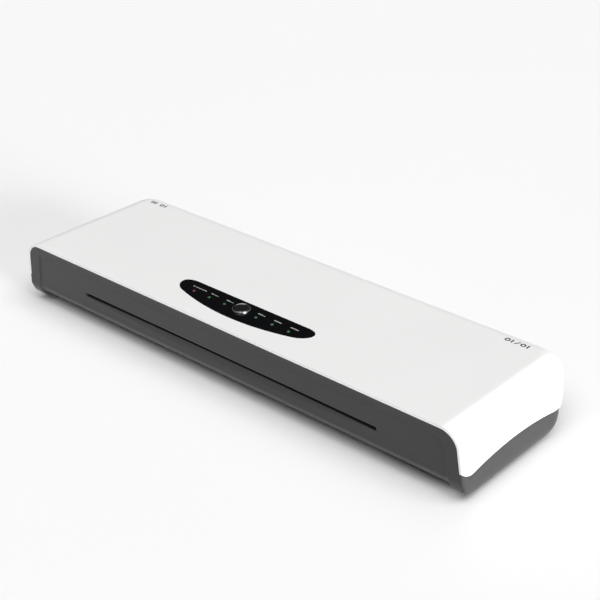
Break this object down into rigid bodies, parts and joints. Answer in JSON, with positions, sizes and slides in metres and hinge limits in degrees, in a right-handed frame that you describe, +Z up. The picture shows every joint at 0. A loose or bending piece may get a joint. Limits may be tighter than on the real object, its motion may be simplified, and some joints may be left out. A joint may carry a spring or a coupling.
{
  "type": "pouch laminator",
  "caption": "Long, low pouch laminator: white cover with flared ends, dark grey base and fascia with a full-width feed slot, lens-shaped control panel with lights and a round mode button.",
  "frame": {"origin": "under the middle of the case, on the surface that the feet stand on", "axes": "+X to the right as the user faces the feed slot, +Y to the rear, the way the pouch travels, +Z up"},
  "size_m": [0.4924, 0.1538, 0.0663],
  "materials": {
    "white_plastic": "fine satin moulding",
    "grey_plastic": "satin moulding",
    "black_gloss": "polished",
    "black_plastic": "satin",
    "bright_ring": "bright plated",
    "red_lens": "translucent look",
    "green_lens": "translucent look",
    "circuit_board": "solder resist",
    "steel": "ground",
    "sheet_steel": "zinc plated sheet",
    "aluminium": "extruded",
    "silicone": "ground silicone",
    "gear_plastic": "natural acetal",
    "bush_plastic": "natural nylon",
    "foot_rubber": "matt"
  },
  "bodies": {
    "case": {"top_cover": "white_plastic", "base_tray": "grey_plastic", "front_fascia": "grey_plastic", "rear_panel": "grey_plastic", "control_panel": "black_gloss", "button_ring": "bright_ring", "power_light": "red_lens", "preset_light_1": "green_lens", "preset_light_2": "green_lens", "preset_light_3": "green_lens", "preset_light_4": "green_lens", "preset_light_5": "green_lens", "control_board": "circuit_board", "tact_switch": "black_plastic", "power_switch_body": "black_plastic", "heat_switch_body": "black_plastic", "power_inlet": "black_plastic", "side_frame_left": "sheet_steel", "side_frame_right": "sheet_steel", "upper_heater_plate": "aluminium", "lower_heater_plate": "aluminium", "thermostat": "sheet_steel", "gear_motor": "sheet_steel", "motor_bracket": "sheet_steel", "entry_guide": "black_plastic", "exit_guide": "black_plastic", "front_bush_left": "bush_plastic", "front_block_left": "bush_plastic", "front_spring_left": "steel", "foot_front_left": "foot_rubber", "front_bush_right": "bush_plastic", "front_block_right": "bush_plastic", "front_spring_right": "steel", "foot_front_right": "foot_rubber", "rear_bush_left": "bush_plastic", "rear_block_left": "bush_plastic", "rear_spring_left": "steel", "foot_rear_left": "foot_rubber", "rear_bush_right": "bush_plastic", "rear_block_right": "bush_plastic", "rear_spring_right": "steel", "foot_rear_right": "foot_rubber"},
    "mode_button": {"mode_button": "black_plastic"},
    "power_rocker": {"power_rocker": "black_plastic"},
    "heat_rocker": {"heat_rocker": "black_plastic"},
    "idler": {"idler_gear": "gear_plastic"},
    "pinion": {"pinion_gear": "gear_plastic", "motor_shaft": "steel"},
    "front_lower_rolls": {"front_lower_shaft": "steel", "front_lower_roller": "silicone", "front_lower_gear": "gear_plastic"},
    "front_upper_rolls": {"front_upper_shaft": "steel", "front_upper_roller": "silicone", "front_upper_gear": "gear_plastic"},
    "rear_lower_rolls": {"rear_lower_shaft": "steel", "rear_lower_roller": "silicone", "rear_lower_gear": "gear_plastic"},
    "rear_upper_rolls": {"rear_upper_shaft": "steel", "rear_upper_roller": "silicone", "rear_upper_gear": "gear_plastic"}
  },
  "joints": [
    {"name": "front_lower_spin", "type": "hinge", "parent": "case", "child": "front_lower_rolls", "pos_m": [0, -0.01675, 0.025], "axis": [1, 0, 0], "continuous": true},
    {"name": "front_upper_spin", "type": "hinge", "parent": "case", "child": "front_upper_rolls", "pos_m": [0, -0.01675, 0.043], "axis": [1, 0, 0], "continuous": true},
    {"name": "rear_lower_spin", "type": "hinge", "parent": "case", "child": "rear_lower_rolls", "pos_m": [0, 0.03125, 0.025], "axis": [1, 0, 0], "continuous": true},
    {"name": "rear_upper_spin", "type": "hinge", "parent": "case", "child": "rear_upper_rolls", "pos_m": [0, 0.03125, 0.043], "axis": [1, 0, 0], "continuous": true},
    {"name": "idler_spin", "type": "hinge", "parent": "case", "child": "idler", "pos_m": [0, 0.00725, 0.025], "axis": [1, 0, 0], "continuous": true},
    {"name": "pinion_spin", "type": "hinge", "parent": "case", "child": "pinion", "pos_m": [0, 0.00725, 0.046], "axis": [1, 0, 0], "continuous": true},
    {"name": "mode_button_press", "type": "slide", "parent": "case", "child": "mode_button", "axis": [0, 0, -1], "range_m": [0, 0.0012], "stiffness_N_per_m": 300},
    {"name": "power_rocker_tilt", "type": "hinge", "parent": "case", "child": "power_rocker", "pos_m": [0.201, 0.0739, 0.0376], "axis": [1, 0, 0], "range_deg": [0, 20]},
    {"name": "heat_rocker_tilt", "type": "hinge", "parent": "case", "child": "heat_rocker", "pos_m": [-0.208, 0.0739, 0.0376], "axis": [1, 0, 0], "range_deg": [0, 20]}
  ],
  "couplings": [
    {"joint": "front_upper_spin", "follows": "front_lower_spin", "ratio": -1},
    {"joint": "idler_spin", "follows": "front_lower_spin", "ratio": -0.6},
    {"joint": "rear_lower_spin", "follows": "front_lower_spin", "ratio": 1},
    {"joint": "rear_upper_spin", "follows": "front_lower_spin", "ratio": -1},
    {"joint": "pinion_spin", "follows": "front_lower_spin", "ratio": 1.5}
  ]
}
